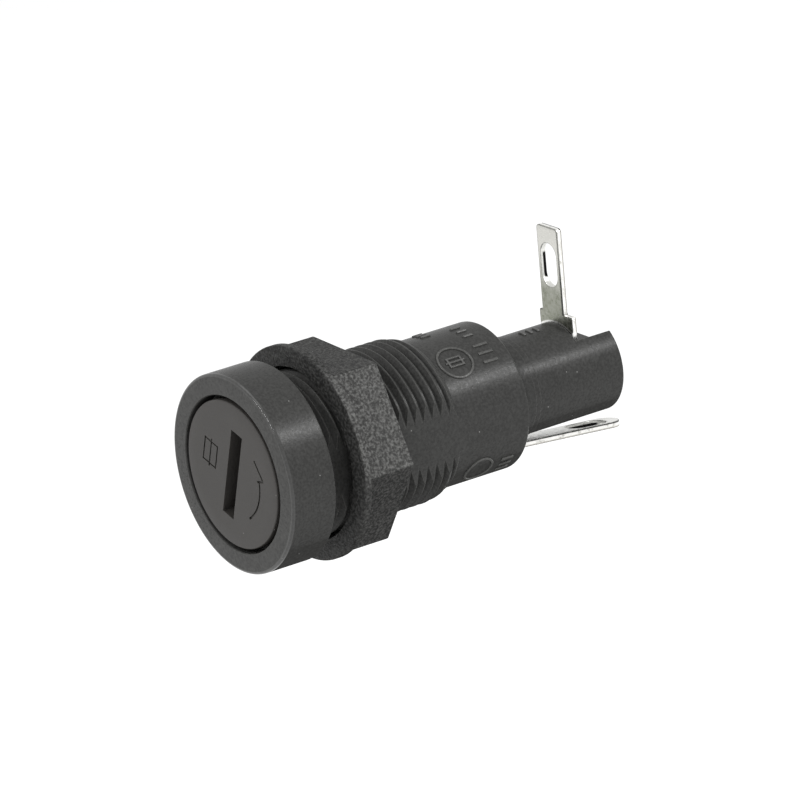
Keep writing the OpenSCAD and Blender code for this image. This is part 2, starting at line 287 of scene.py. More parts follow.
def sector_bmesh(r_in, r_out, y0, y1, phi0, phi1, steps):
    """Block between two radii, two places along the axis and two angles."""
    bm = bmesh.new()
    section = [(y0, r_in), (y1, r_in), (y1, r_out), (y0, r_out)]
    rings = []
    for phi in np.linspace(phi0, phi1, steps + 1):
        rings.append([bm.verts.new(polar(phi, r, y)) for y, r in section])
    for a, b in zip(rings, rings[1:]):
        for k in range(4):
            bm.faces.new([a[k], a[(k + 1) % 4], b[(k + 1) % 4], b[k]])
    bm.faces.new(rings[0])
    bm.faces.new(reversed(rings[-1]))
    bmesh.ops.recalc_face_normals(bm, faces=bm.faces)
    return bm


def as_object(bm):
    """Plain scratch object from a bmesh."""
    bmesh.ops.remove_doubles(bm, verts=bm.verts, dist=WELD)
    bmesh.ops.recalc_face_normals(bm, faces=bm.faces)
    mesh = bpy.data.meshes.new("scratch")
    bm.to_mesh(mesh)
    bm.free()
    return add_object("scratch", mesh)


def combine(bm, tools):
    """Applies (operation, bmesh) tools one by one and returns the result as a bmesh."""
    base = as_object(bm)
    for operation, tool in tools:
        cutter = as_object(tool)
        modifier = base.modifiers.new("combine", "BOOLEAN")
        modifier.operation = operation
        modifier.solver = "MANIFOLD"
        modifier.object = cutter
        bpy.context.view_layer.update()
        shaped = base.evaluated_get(bpy.context.evaluated_depsgraph_get())
        mesh = bpy.data.meshes.new_from_object(shaped)
        base.modifiers.clear()
        base.data = mesh
        bpy.data.objects.remove(cutter)
    result = bmesh.new()
    result.from_mesh(base.data)
    bpy.data.objects.remove(base)
    return result


def lathe(profile, phis=None):
    """Closed turned shape from a loop of (y, r) points."""
    bm = bmesh.new()
    phis = even_phis() if phis is None else phis
    add_rows(bm, phis, profile + profile[:1])
    bmesh.ops.remove_doubles(bm, verts=bm.verts, dist=WELD)
    return bm


# ---- Materials ----

def feed(material, node, values):
    """Sets a node's inputs from pairs of an input and another node's output or a constant."""
    for place, value in values:
        if isinstance(value, bpy.types.NodeSocket):
            material.node_tree.links.new(value, node.inputs[place])
        else:
            node.inputs[place].default_value = value


def add_node(material, kind, values=(), **settings):
    """Adds a shader node, gives it its own settings and then feeds its inputs."""
    made = material.node_tree.nodes.new("ShaderNode" + kind)
    for name, value in settings.items():
        setattr(made, name, value)
    feed(material, made, values)
    return made


def new_material(name):
    """Empty node material and its shader."""
    material = bpy.data.materials.new(name)
    material.use_nodes = True
    material.node_tree.nodes.clear()
    shader = add_node(material, "BsdfPrincipled")
    add_node(material, "OutputMaterial", [("Surface", shader.outputs["BSDF"])])
    return material, shader


def own_space(material, kind="Object"):
    """Place in the object's own space, or with Normal the normal there."""
    return add_node(material, "TexCoord").outputs[kind]


def noise(material, scale, detail, roughness=0.55, stretch=(1, 1, 1)):
    """Noise in the object's own space. scale is in waves per millimetre."""
    mapping = add_node(
        material, "Mapping", [("Scale", [s / MM for s in stretch]), ("Vector", own_space(material))])
    made = add_node(material, "TexNoise", [
        ("Scale", scale), ("Detail", detail), ("Roughness", roughness),
        ("Vector", mapping.outputs["Vector"])])
    return made.outputs["Fac"]


def ramp(material, value, start, end, low=0, high=1):
    """Maps start..end to low..high and holds the ends."""
    made = add_node(material, "MapRange", [
        ("From Min", start), ("From Max", end), ("To Min", low), ("To Max", high), ("Value", value)])
    return made.outputs["Result"]


def between(material, factor, low, high):
    """Maps a noise factor, which keeps near 0.5, to a range."""
    return ramp(material, factor, 0.3, 0.7, low, high)


def mixed_colour(material, factor, first, second):
    """Colour that runs from first to second with a factor. Each is a colour or another node's output."""
    ends = [c if isinstance(c, bpy.types.NodeSocket) else (*c, 1) for c in (first, second)]
    made = add_node(
        material, "Mix", [("A", ends[0]), ("B", ends[1]), ("Factor", factor)], data_type="RGBA")
    return made.outputs["Result"]


def maths(material, operation, first, second=0.0):
    """Result of a scalar operation on an output and another output or a number."""
    return add_node(material, "Math", [(0, first), (1, second)], operation=operation).outputs["Value"]


def vector_maths(material, operation, first, second=(0, 0, 0)):
    """Result of a vector operation on an output and another output or a constant vector."""
    made = add_node(material, "VectorMath", [(0, first), (1, second)], operation=operation)
    return made.outputs["Value" if operation in ("DOT_PRODUCT", "LENGTH") else "Vector"]


def product(material, first, second, third=1.0):
    """Product of two factors and a number."""
    both = maths(material, "MULTIPLY", first, second)
    return both if third == 1.0 else maths(material, "MULTIPLY", both, third)


def tinted(material, colour, amount):
    """Colour scaled by an amount."""
    made = add_node(material, "VectorMath", [("Scale", amount), (0, colour)], operation="SCALE")
    return made.outputs["Vector"]


def object_facing(material, direction):
    """How far a face's normal, in the object's own space, points in a direction."""
    return vector_maths(material, "DOT_PRODUCT", own_space(material, "Normal"), direction)


def rounded_normal(material, radius, samples):
    """Normal over a small rounding of all edges. radius is in millimetres."""
    return add_node(material, "Bevel", [("Radius", radius * MM)], samples=samples).outputs["Normal"]


def edge_factor(material, radius, sharpest=0.93, outward_only=True):
    """1 on edges and 0 elsewhere. radius is in millimetres."""
    shape = add_node(material, "NewGeometry").outputs
    likeness = vector_maths(
        material, "DOT_PRODUCT", rounded_normal(material, radius, 8), shape["Normal"])
    edge = ramp(material, likeness, 0.995, sharpest)
    if not outward_only:
        return edge
    return product(material, edge, ramp(material, shape["Pointiness"], 0.49, 0.51))


def rim_factor(material, radius, y, size):
    """1 on the round edge where a cylinder of a radius meets its front face at y. All are in millimetres."""
    place = own_space(material)
    radial = vector_maths(material, "LENGTH", vector_maths(material, "MULTIPLY", place, (1, 0, 1)))
    along = vector_maths(material, "DOT_PRODUCT", place, (0, 1, 0))
    outer = ramp(material, radial, (radius - size * 1.1) * MM, (radius - size * 0.9) * MM)
    front = ramp(material, along, (y + size * 1.1) * MM, (y + size * 0.9) * MM)
    return product(material, outer, front)


def specks(material, spacing, radius, share):
    """1 in sparse small dots, as dust or bare grains make. spacing and radius are in millimetres."""
    made = add_node(
        material, "TexVoronoi", [("Scale", 1 / (spacing * MM)), ("Vector", own_space(material))])
    near = radius / spacing
    dot = ramp(material, made.outputs["Distance"], near, near * 0.4)
    split = add_node(material, "SeparateColor", [("Color", made.outputs["Color"])])
    chosen = ramp(material, split.outputs["Red"], 1 - share, 1 - share + 0.02)
    return product(material, dot, chosen)


def bumped(material, shader, height, distance, strength, edge_r=0.0):
    """Bump from a height factor, over a small rounding of all edges. distance and edge_r are in
    millimetres."""
    values = [("Strength", strength), ("Distance", distance * MM), ("Height", height)]
    if edge_r:
        values.append(("Normal", rounded_normal(material, edge_r, 6)))
    feed(material, shader, [("Normal", add_node(material, "Bump", values).outputs["Normal"])])


def moulded_plastic(name, colour, edge_tone, rough, grain_scale, grain_depth, edge_r, mottle, specular, side=None,
                    rim=None):
    """Black moulded plastic with a fine grain, cloudy gloss, edges in their own tone and a few specks. It is
    duller below and on top. mottle is how far the grain changes the colour. side is a direction whose faces
    get a lighter copy of the colour, a painted light, and their tone's share. edge_tone, where paler than the
    plastic, stands for both wear and painted edge highlights. rim is the radius, place and size of an edge
    that is polished by handling."""
    material, shader = new_material(name)
    cloudiness, dust, rim_gloss, rim_smoothing = 0.12, (0.3, 0.3, 0.29), 0.45, 0.55
    cloud = noise(material, 0.35, 3)
    grain = noise(material, grain_scale, 4, 0.6)
    dark = mixed_colour(
        material, cloud, [c * (1 - cloudiness) for c in colour], [c * (1 + cloudiness) for c in colour])
    pale = mixed_colour(material, cloud, [c * mottle for c in colour], [c * mottle * 1.1 for c in colour])
    body = mixed_colour(material, ramp(material, grain, 0.42, 0.66), dark, pale)
    # Painted light: faces that point along side[0] get a lighter copy of the colour, as if a lamp lit them
    # more.
    if side:
        facing = ramp(material, object_facing(material, side[0]), 0.8, 0.92)
        body = mixed_colour(material, facing, body, tinted(material, body, side[1]))
    # Edge tone: on the body, cap and mark plastics it is paler and stands for both wear and painted
    # highlights along the edges; on the nut it is darker.
    edged = mixed_colour(material, edge_factor(material, edge_r), body, edge_tone)
    dusty = mixed_colour(material, specks(material, 0.9, 0.05, 0.25), edged, dust)
    roughness = between(material, grain, rough - 0.05, rough + 0.09)
    upward = object_facing(material, (0, 0, 1))
    under = ramp(material, upward, -0.6, -0.2)
    over = ramp(material, upward, 0.7, 1.0, 1, 0.5)
    gloss = product(material, under, over, specular)
    if rim:
        polish = rim_factor(material, *rim)
        smoothed = product(material, polish, roughness, rim_smoothing)
        roughness = maths(material, "SUBTRACT", roughness, smoothed)
        grain = maths(material, "SUBTRACT", grain, product(material, polish, grain))
        gloss = maths(material, "MAXIMUM", gloss, maths(material, "MULTIPLY", polish, rim_gloss))
    feed(material, shader, [("Base Color", dusty), ("Specular IOR Level", gloss), ("Roughness", roughness)])
    bumped(material, shader, grain, grain_depth, 1.0, edge_r)
    return material


def plated_metal(name, colour, dull, rough, streak, edge_r=0.03):
    """Plated metal with fine drawn streaks, dull patches and darker edges."""
    material, shader = new_material(name)
    patches = noise(material, 0.9, 4)
    tone = mixed_colour(material, between(material, patches, 0, 1), dull, colour)
    if edge_r:
        tone = mixed_colour(material, edge_factor(material, edge_r), tone, [c * 0.3 for c in dull])
    lines = noise(material, 6.0, 3, 0.5, streak)
    feed(material, shader, [
        ("Base Color", tone), ("Metallic", 1.0),
        ("Roughness", between(material, lines, rough - 0.06, rough + 0.1))])
    bumped(material, shader, lines, 0.004, 0.6, edge_r)
    return material


def hole_factors(material, place, inward, centre, along, across, line):
    """1 on the wall of a tag's round-ended hole, and 1 on that wall's painted shadow line. centre is in
    millimetres, in the face that inward points in from. line is the shadow line's middle and half its length."""
    offset = vector_maths(material, "SUBTRACT", place, Vector(centre) * MM)
    run, depth, side = (
        vector_maths(material, "DOT_PRODUCT", offset, axis) for axis in (along, inward, across))
    deep = ramp(material, depth, 0.16 * MM, 0.2 * MM)
    from_middle = maths(material, "ABSOLUTE", maths(material, "SUBTRACT", run, line[0] * MM))
    middle = ramp(material, from_middle, (line[1] + 0.08) * MM, (line[1] - 0.08) * MM)
    straight = (TAG_HOLE_L - TAG_HOLE_W) / 2 * MM
    beyond = maths(material, "SUBTRACT", maths(material, "ABSOLUTE", run), straight)
    beyond = maths(material, "MAXIMUM", beyond, 0.0)
    squares = maths(material, "ADD", product(material, side, side), product(material, beyond, beyond))
    half = TAG_HOLE_W / 2 * MM
    wall = ramp(material, maths(material, "SQRT", squares), half + 0.05 * MM, half + 0.02 * MM)
    return wall, product(material, deep, middle)


def tinned_sheet(name, dull, bright, face, hole):
    """Tinned sheet with dull rolled faces, which are duller low down by the plastic, bright mottled sheared
    edges, painted dark outlines and edge lines that stand for shade on the edges, a bright foot at the tube
    and a painted shadow line in the punched hole. face points in through the sheet, and hole is the hole's
    centre, its two directions and its shadow line."""
    material, shader = new_material(name)

    def mix(value, start, end, first, second):
        """Colour that runs from first to second as a value runs from start to end."""
        return mixed_colour(material, ramp(material, value, start, end), first, second)

    place = own_space(material)
    height = vector_maths(material, "DOT_PRODUCT", place, (0, 0, 1))
    patches = maths(material, "MULTIPLY", noise(material, 1.6, 5, 0.65), 2.0 * MM)
    rolled_tone = mix(maths(material, "ADD", height, patches), 6.6 * MM, 9.6 * MM, dull, bright)
    grain = noise(material, 4.0, 4, 0.6)
    mottled = mixed_colour(
        material, ramp(material, grain, 0.35, 0.75, 0, 0.35), rolled_tone, (0.75, 0.75, 0.70))
    facing = maths(material, "ABSOLUTE", object_facing(material, face))
    sheared_tone = mix(
        noise(material, 3.0, 3, 0.6), 0.5, 0.68, (0.88, 0.875, 0.85), (0.52, 0.515, 0.48))
    depth = vector_maths(
        material, "DOT_PRODUCT", vector_maths(material, "SUBTRACT", place, Vector(hole[0]) * MM), face)
    # Painted shade: the sheared edge gets a line by each face. It is black low down by the front face and
    # black at the top by the rear face, and grey elsewhere, for the shade on those edges.
    near_shade_line = mix(height, 6.8 * MM, 8.4 * MM, (0.02, 0.02, 0.02), (0.5, 0.5, 0.47))
    far_shade_line = mix(height, 10.55 * MM, 10.7 * MM, (0.6, 0.58, 0.54), (0.03, 0.03, 0.027))
    sheared_tone = mix(depth, 0.13 * MM, 0.09 * MM, sheared_tone, near_shade_line)
    sheared_tone = mix(depth, 0.3 * MM, 0.34 * MM, sheared_tone, far_shade_line)
    tone = mix(facing, 0.5, 0.8, sheared_tone, mottled)
    from_axis = vector_maths(material, "LENGTH", vector_maths(material, "MULTIPLY", place, (1, 0, 1)))
    foot = ramp(material, from_axis, (TUBE_R + 0.17) * MM, (TUBE_R + 0.11) * MM)
    above = ramp(material, height, 2.4 * MM, 2.5 * MM, 0, 0.85)
    tone = mixed_colour(material, product(material, foot, above), tone, (0.95, 0.95, 0.93))
    # Painted shade: dark outlines along all the sheet's edges, standing for the shade on its rounded edges.
    shade_outlined = mixed_colour(material, edge_factor(material, 0.14, 0.97, False), tone, (0.04, 0.04, 0.036))
    # Painted shadow: a black line on the hole's wall, standing for the shade inside the punched hole.
    wall, hole_shade_line = hole_factors(material, place, face, *hole)
    wall_tone = mixed_colour(material, hole_shade_line, (0.66, 0.66, 0.63), (0.006, 0.006, 0.006))
    feed(material, shader, [
        ("Base Color", mixed_colour(material, wall, shade_outlined, wall_tone)), ("Metallic", 1.0),
        ("Roughness", between(material, grain, 0.24, 0.42))])
    bumped(material, shader, grain, 0.006, 0.7, 0.04)
    return material


def clear_glass(name):
    """Clear glass with faint waves."""
    material, shader = new_material(name)
    wave = noise(material, 0.6, 2)
    feed(material, shader, [
        ("Base Color", (0.93, 0.97, 0.97, 1)), ("Transmission Weight", 1.0), ("IOR", 1.5),
        ("Roughness", between(material, wave, 0.01, 0.05))])
    bumped(material, shader, wave, 0.004, 0.4)
    return material


# Painted light: the faces that look forward, along -Y, are painted 1.35 times lighter.
BODY_PLASTIC = moulded_plastic(
    "body_plastic", (0.031, 0.031, 0.030), (0.09, 0.09, 0.085), rough=0.28, grain_scale=5.0,
    grain_depth=0.012, edge_r=0.05, mottle=1.35, specular=0.09,
    side=((0, -1, 0), 1.35), rim=(FLANGE_R, FACE_Y, FLANGE_EDGE_R))
# Painted highlight: the raised marks get a lighter copy of the body plastic, standing for the light their
# edges catch.
LIT_MARK_PLASTIC = moulded_plastic(
    "mark_plastic_painted_lit", (0.05, 0.05, 0.048), (0.13, 0.13, 0.125), rough=0.26, grain_scale=5.0,
    grain_depth=0.012, edge_r=0.03, mottle=1.3, specular=0.2)
CAP_PLASTIC = moulded_plastic(
    "cap_plastic", (0.032, 0.030, 0.028), (0.08, 0.078, 0.072), rough=0.46, grain_scale=7.0,
    grain_depth=0.008, edge_r=0.03, mottle=1.25, specular=0.3)
# Painted light: the nut's flat that faces up and towards +X is painted twice as light, as the lit face.
NUT_PLASTIC = moulded_plastic(
    "nut_plastic", (0.0165, 0.0165, 0.016), (0.004, 0.004, 0.004), rough=0.5, grain_scale=5.0,
    grain_depth=0.09, edge_r=0.07, mottle=3.6, specular=0.1,
    side=(polar(NUT_TURN + math.radians(90), 1, 0), 2.0))
UPPER_HOLE_Z = PLATE_HIGH.z - UPPER_HOLE_INSET - TAG_HOLE_L / 2
UPPER_TIN = tinned_sheet(
    "upper_tinned_sheet", (0.21, 0.22, 0.175), (0.60, 0.595, 0.56), (0, 1, 0),
    ((TAG_SHIFT, PLATE_LOW.y, UPPER_HOLE_Z), (0, 0, 1), (1, 0, 0), (-0.2, 0.95)))
SIDE_AXES = Matrix.Rotation(SIDE_TURN, 3, "Y") @ Matrix.Rotation(-SIDE_SPLAY, 3, "X")
SIDE_BEND = Vector((0, BARREL_END + BEND_GAP, STRIP_TOP))
SIDE_TAG_L = (SIDE_HIGH.y - SIDE_BEND.y) / math.cos(SIDE_SPLAY)
SIDE_HOLE_Y = SIDE_TAG_L - SIDE_HOLE_INSET - TAG_HOLE_L / 2
SIDE_HOLE = Matrix.Rotation(SIDE_TURN, 3, "Y") @ (
    SIDE_BEND + Matrix.Rotation(-SIDE_SPLAY, 3, "X") @ Vector((0, SIDE_HOLE_Y, 0)))
SIDE_TIN = tinned_sheet(
    "side_tinned_sheet", (0.76, 0.76, 0.74), (0.76, 0.76, 0.74), -SIDE_AXES.col[2],
    (SIDE_HOLE, SIDE_AXES.col[1], SIDE_AXES.col[0], (0, 1.45)))
NICKEL = plated_metal("contact_nickel", (0.80, 0.77, 0.72), (0.62, 0.60, 0.56), 0.26, (1, 0.2, 1))
CAP_NICKEL = plated_metal("fuse_cap_nickel", (0.82, 0.80, 0.76), (0.68, 0.66, 0.62), 0.2, (1, 1, 1))
WIRE = plated_metal("fuse_wire", (0.86, 0.84, 0.80), (0.7, 0.68, 0.64), 0.3, (1, 0.1, 1), 0)
SOLDER = plated_metal("solder", (0.66, 0.66, 0.67), (0.5, 0.5, 0.52), 0.42, (1, 1, 1), 0)
STEEL = plated_metal("spring_steel", (0.70, 0.70, 0.72), (0.56, 0.56, 0.58), 0.28, (1, 1, 1), 0)
GLASS = clear_glass("fuse_glass")


# ---- Pieces ----

def trim_barrel(y, r):
    """Cuts the holder's ridges back at the thread's tapered end."""
    lead = CREST_R - LEAD_DROP + (THREAD_END - y) * LEAD_TAPER
    return max(ROOT_R, min(r, lead))


def flat_cutter(middle):
    """Block that cuts one flat along the whole barrel. Its round side stays inside the seat's relief."""
    reach = math.acos(HALF_FLATS / FLAT_CUT_R)
    bm = bmesh.new()
    rings = []
    for y in (-SEAT_RELIEF_DEPTH + 0.002, BARREL_END + 2):
        rings.append([bm.verts.new(polar(middle + t, FLAT_CUT_R, y))
                      for t in np.linspace(-reach, reach, 33)])
    close_rings(bm, rings)
    return bm


def holder_body():
    """The moulded holder: flange, threaded barrel with two flats, and rear tube."""
    phis = even_phis()
    bm = bmesh.new()
    lip, edge, fillet, barrel_edge, tube_edge = 0.06, FLANGE_EDGE_R, 0.12, 0.22, 0.14
    front = [(FACE_Y + lip, RECESS_R), (FACE_Y, RECESS_R + lip)]
    front += arc(FLANGE_R - edge, FACE_Y + edge, edge, -90, 0, 8)
    front += arc(FLANGE_R - fillet, -fillet, fillet, 0, 90, 4)
    front += [(0, SEAT_RELIEF_R), (-SEAT_RELIEF_DEPTH, SEAT_RELIEF_R)]
    front += [(-SEAT_RELIEF_DEPTH, ROOT_R), (THREAD_START, ROOT_R)]
    add_rows(bm, phis, front)
    thread, climb = ridge_rows(
        ROOT_R, CREST_R, THREAD_START, THREAD_END, FIRST_RIDGE, phis, trim_barrel)
    add_rows(bm, phis, thread, climb)
    rear = [(THREAD_END, ROOT_R), (THREAD_END + 0.1, BARREL_R)]
    rear += arc(BARREL_R - barrel_edge, BARREL_END - barrel_edge, barrel_edge, 0, 90, 5)
    rear += [(BARREL_END, TUBE_STEP_R + fillet), (BARREL_END + fillet / 4, TUBE_STEP_R + fillet / 4)]
    rear += [(BARREL_END + fillet, TUBE_STEP_R)]
    rear += [(TUBE_STEPS[0], TUBE_STEP_R), (TUBE_STEPS[0] + 0.05, TUBE_MID_R)]
    rear += [(TUBE_STEPS[1], TUBE_MID_R), (TUBE_STEPS[1] + 0.05, TUBE_R)]
    rear += arc(TUBE_R - tube_edge, TUBE_END - tube_edge, tube_edge, 0, 90, 4)
    rear += [(TUBE_END, CORE_HOLE_R + 0.08), (TUBE_END - 0.08, CORE_HOLE_R)]
    rear += [(PLATE_LOW.y - POCKET_GAP, CORE_HOLE_R), (PLATE_LOW.y - POCKET_GAP, TUBE_BORE_R)]
    rear += [(BORE_END + 0.3, TUBE_BORE_R), (BORE_END, TUBE_BORE_R + 0.3), (BORE_END, BORE_R)]
    rear += [(GROOVE_REAR, BORE_R), (GROOVE_REAR, GROOVE_R)]
    rear += [(GROOVE_FRONT, GROOVE_R), (GROOVE_FRONT, BORE_R)]
    rear += [(RECESS_FLOOR + 0.1, BORE_R), (RECESS_FLOOR, BORE_R + 0.1)]
    rear += [(RECESS_FLOOR, RECESS_R), front[0]]
    add_rows(bm, phis, rear)
    pocket_y = (PLATE_LOW.y - POCKET_GAP, PLATE_HIGH.y + POCKET_GAP)
    pocket_x = PLATE_HIGH.x + POCKET_GAP
    beyond = 40
    strip_floor = STRIP_LOW - POCKET_GAP
    cuts = [
        ((-ENTRY_HALF_W, -5, -GROOVE_R), (ENTRY_HALF_W, GROOVE_REAR - 0.01, GROOVE_R), 0),
        ((-KEYWAY_HALF_W, -5, strip_floor), (KEYWAY_HALF_W, BORE_END - 0.01, 0), SIDE_TURN),
        ((-TAG_SLOT_HALF_W, 5, strip_floor),
         (TAG_SLOT_HALF_W, beyond, STRIP_TOP + POCKET_GAP), SIDE_TURN),
        ((-pocket_x, pocket_y[0], PLATE_LOW.z - POCKET_GAP), (pocket_x, pocket_y[1], beyond), 0),
        ((-TOP_SLOT_HALF_W, pocket_y[0] + 0.01, TOP_SLOT_FLOOR),
         (TOP_SLOT_HALF_W, beyond, beyond), 0),
    ]
    tools = [("DIFFERENCE", box_bmesh(low, high, turn)) for low, high, turn in cuts]
    tools += [("DIFFERENCE", flat_cutter(middle)) for middle in (math.pi / 2, -math.pi / 2)]
    shaped = combine(bm, tools)
    return finish_mesh("moulded_body", shaped, "holder", BODY_PLASTIC, ["holder_body"])


def close_rings(bm, rings):
    """Joins rings of equal length and closes both ends."""
    count = len(rings[0])
    for a, b in zip(rings, rings[1:]):
        for k in range(count):
            bm.faces.new([a[k], a[(k + 1) % count], b[(k + 1) % count], b[k]])
    bm.faces.new(reversed(rings[0]))
    bm.faces.new(rings[-1])


def wrapped_bar(bm, x, y, w, length, phi, place_y, r):
    """Adds a raised bar on a cylinder. x and y place it from the mark's centre, and its edges slope."""
    steps = 4
    rings = []
    for lift, inset in ((-MARK_BASE, 0), (MARK_DEPTH - MARK_SLOPE, 0), (MARK_DEPTH, MARK_SLOPE)):
        half_w, half_l = w / 2 - inset, length / 2 - inset
        ring = [(x + half_w * (2 * k / steps - 1), y - half_l) for k in range(steps + 1)]
        ring += [(x + half_w * (1 - 2 * k / steps), y + half_l) for k in range(steps + 1)]
        rings.append([
            bm.verts.new(polar(phi + u / r, r + lift, place_y + v)) for u, v in ring])
    close_rings(bm, rings)


def wrapped_ring(bm, radius, phi, place_y, r):
    """Adds a raised ring on a cylinder."""
    steps, inner = 64, radius - MARK_LINE
    shoulder = MARK_DEPTH - MARK_SLOPE
    section = [
        (radius, -MARK_BASE), (radius, shoulder), (radius - MARK_SLOPE, MARK_DEPTH),
        (inner + MARK_SLOPE, MARK_DEPTH), (inner, shoulder), (inner, -MARK_BASE)]
    loops = []
    for rho, lift in section:
        loops.append([bm.verts.new(polar(
            phi + rho * math.sin(t) / r, r + lift, place_y + rho * math.cos(t)))
            for t in np.arange(steps) * TURN / steps])
    for a, b in zip(loops, loops[1:] + loops[:1]):
        for k in range(steps):
            nxt = (k + 1) % steps
            bm.faces.new([a[k], a[nxt], b[nxt], b[k]])


def fuse_symbol(length, width):
    """Bars of a fuse symbol, a box with a line through it, as centre x, centre y, width and length."""
    bars = [(0, 0, SYMBOL_LINE, length + SYMBOL_ENDS)]
    bars += [(side * width / 2, 0, SYMBOL_LINE, length) for side in (-1, 1)]
    return bars + [(0, side * length / 2, width + SYMBOL_LINE, SYMBOL_LINE) for side in (-1, 1)]


def raised_marks():
    """Raised rings, bars and a fuse symbol on the plain barrel and the tube."""
    bm = bmesh.new()
    near, low, low_rear, top, top_rear, tube = (
        math.radians(a) for a in (36, 130.5, 133, -9, 7, 2))
    symbol_y, bar_w = 13.65, 0.2
    wrapped_ring(bm, 1.4, near, symbol_y, BARREL_R)
    for bar in fuse_symbol(1.1, 0.7):
        wrapped_bar(bm, *bar, near, symbol_y, BARREL_R)
    wrapped_ring(bm, 1.2, low, 14.2, BARREL_R)
    rows = ((0.75, 1.2, near, 16.3), (0.6, 1.0, low_rear, 16.6), (0.5, 0.8, top, 13.75),
            (0.75, 0.8, top_rear, 16.15))
    for i in (-1, 0, 1):
        for spacing, length, phi, y in rows:
            wrapped_bar(bm, i * spacing, 0, bar_w, length, phi, y, BARREL_R)
        wrapped_bar(bm, 0, i * 0.6, 0.7, bar_w, tube, 22.4, TUBE_R)
    return finish_mesh("raised_marks", bm, "holder", LIT_MARK_PLASTIC)


def hexagon_columns():
    """Angles for the nut, with extra ones round each corner, and the hexagon's radius at each."""
    centre = (NUT_HALF_AF - NUT_CORNER_R) / math.cos(math.pi / 6)
    reach = math.atan2(NUT_CORNER_R * 0.5, centre + NUT_CORNER_R * math.cos(math.pi / 6))
    side = np.linspace(reach, math.pi / 3 - reach, 37)
    corner = np.linspace(-reach, reach, 7)[:-1]
    phis, radii = [], []
    for k in range(6):
        for t in np.concatenate([corner, side]):
            phis.append(NUT_TURN + k * math.pi / 3 + t)
            if abs(t) <= reach:
                r = centre * math.cos(t) + math.sqrt(NUT_CORNER_R**2 - (centre * math.sin(t))**2)
            else:
                r = NUT_HALF_AF / math.cos(t - math.pi / 6)
            radii.append(r)
    keep = [i for i in range(len(phis)) if i == 0 or phis[i] - phis[i - 1] > 1e-6]
    return np.array(phis)[keep], np.array(radii)[keep]


def hex_nut():
    """The moulded hexagon nut with a round collar on its front. Its thread stands clear of the barrel's
    crests, because the nut turns without travelling."""
    phis, hexagon = hexagon_columns()
    front, rear = NUT_LOW.y, NUT_HIGH.y
    collar_r, round_r, collar_edge, lead_in = NUT_HIGH.x, 0.1, 0.06, 0.25
    bore_start, bore_end = front + lead_in, rear - lead_in
    bm = bmesh.new()
    rows = [(bore_start, NUT_GROOVE_R), (front, NUT_MOUTH_R)]
    rows += arc(collar_r - round_r, front + round_r, round_r, -90, 0, 4)
    rows += arc(
        collar_r - collar_edge, front + NUT_COLLAR_T - collar_edge, collar_edge, 0, 90, 3)
    rows += [(front + NUT_COLLAR_T, hexagon + 0.05), (front + NUT_COLLAR_T + 0.05, hexagon)]
    rows += [(rear - 0.1, hexagon), (rear - 0.03, hexagon - 0.02), (rear, hexagon - 0.09)]
    rows += [(rear, NUT_MOUTH_R), (bore_end, NUT_GROOVE_R)]
    add_rows(bm, phis, rows)
    ridge_phase = FIRST_RIDGE + PITCH / 2
    thread, climb = ridge_rows(
        NUT_GROOVE_R, NUT_TIP_R, bore_start, bore_end, ridge_phase, phis, lambda y, r: r)
    add_rows(bm, phis, thread, climb)
    return finish_mesh("moulded_nut", bm, "nut", NUT_PLASTIC, ["hex_nut"])


def groove_line(a, b):
    """Cutter for a straight engraved line between two (radius, phi in degrees) places on the disc."""
    places = [Vector(polar(math.radians(p), r, 0)) for r, p in (a, b)]
    run = places[1] - places[0]
    bm = bmesh.new()
    bmesh.ops.create_cube(bm, size=1)
    middle = (places[0] + places[1]) / 2
    middle.y = FACE_Y
    size = Matrix.Diagonal((MARK_LINE, 2 * MARK_DEPTH, run.length + MARK_LINE * 0.4, 1))
    turn = Matrix.Rotation(math.atan2(run.x, run.z), 4, "Y")
    bm.transform(Matrix.Rotation(CAP_TURN, 4, "Y") @ Matrix.Translation(middle) @ turn @ size)
    return bm


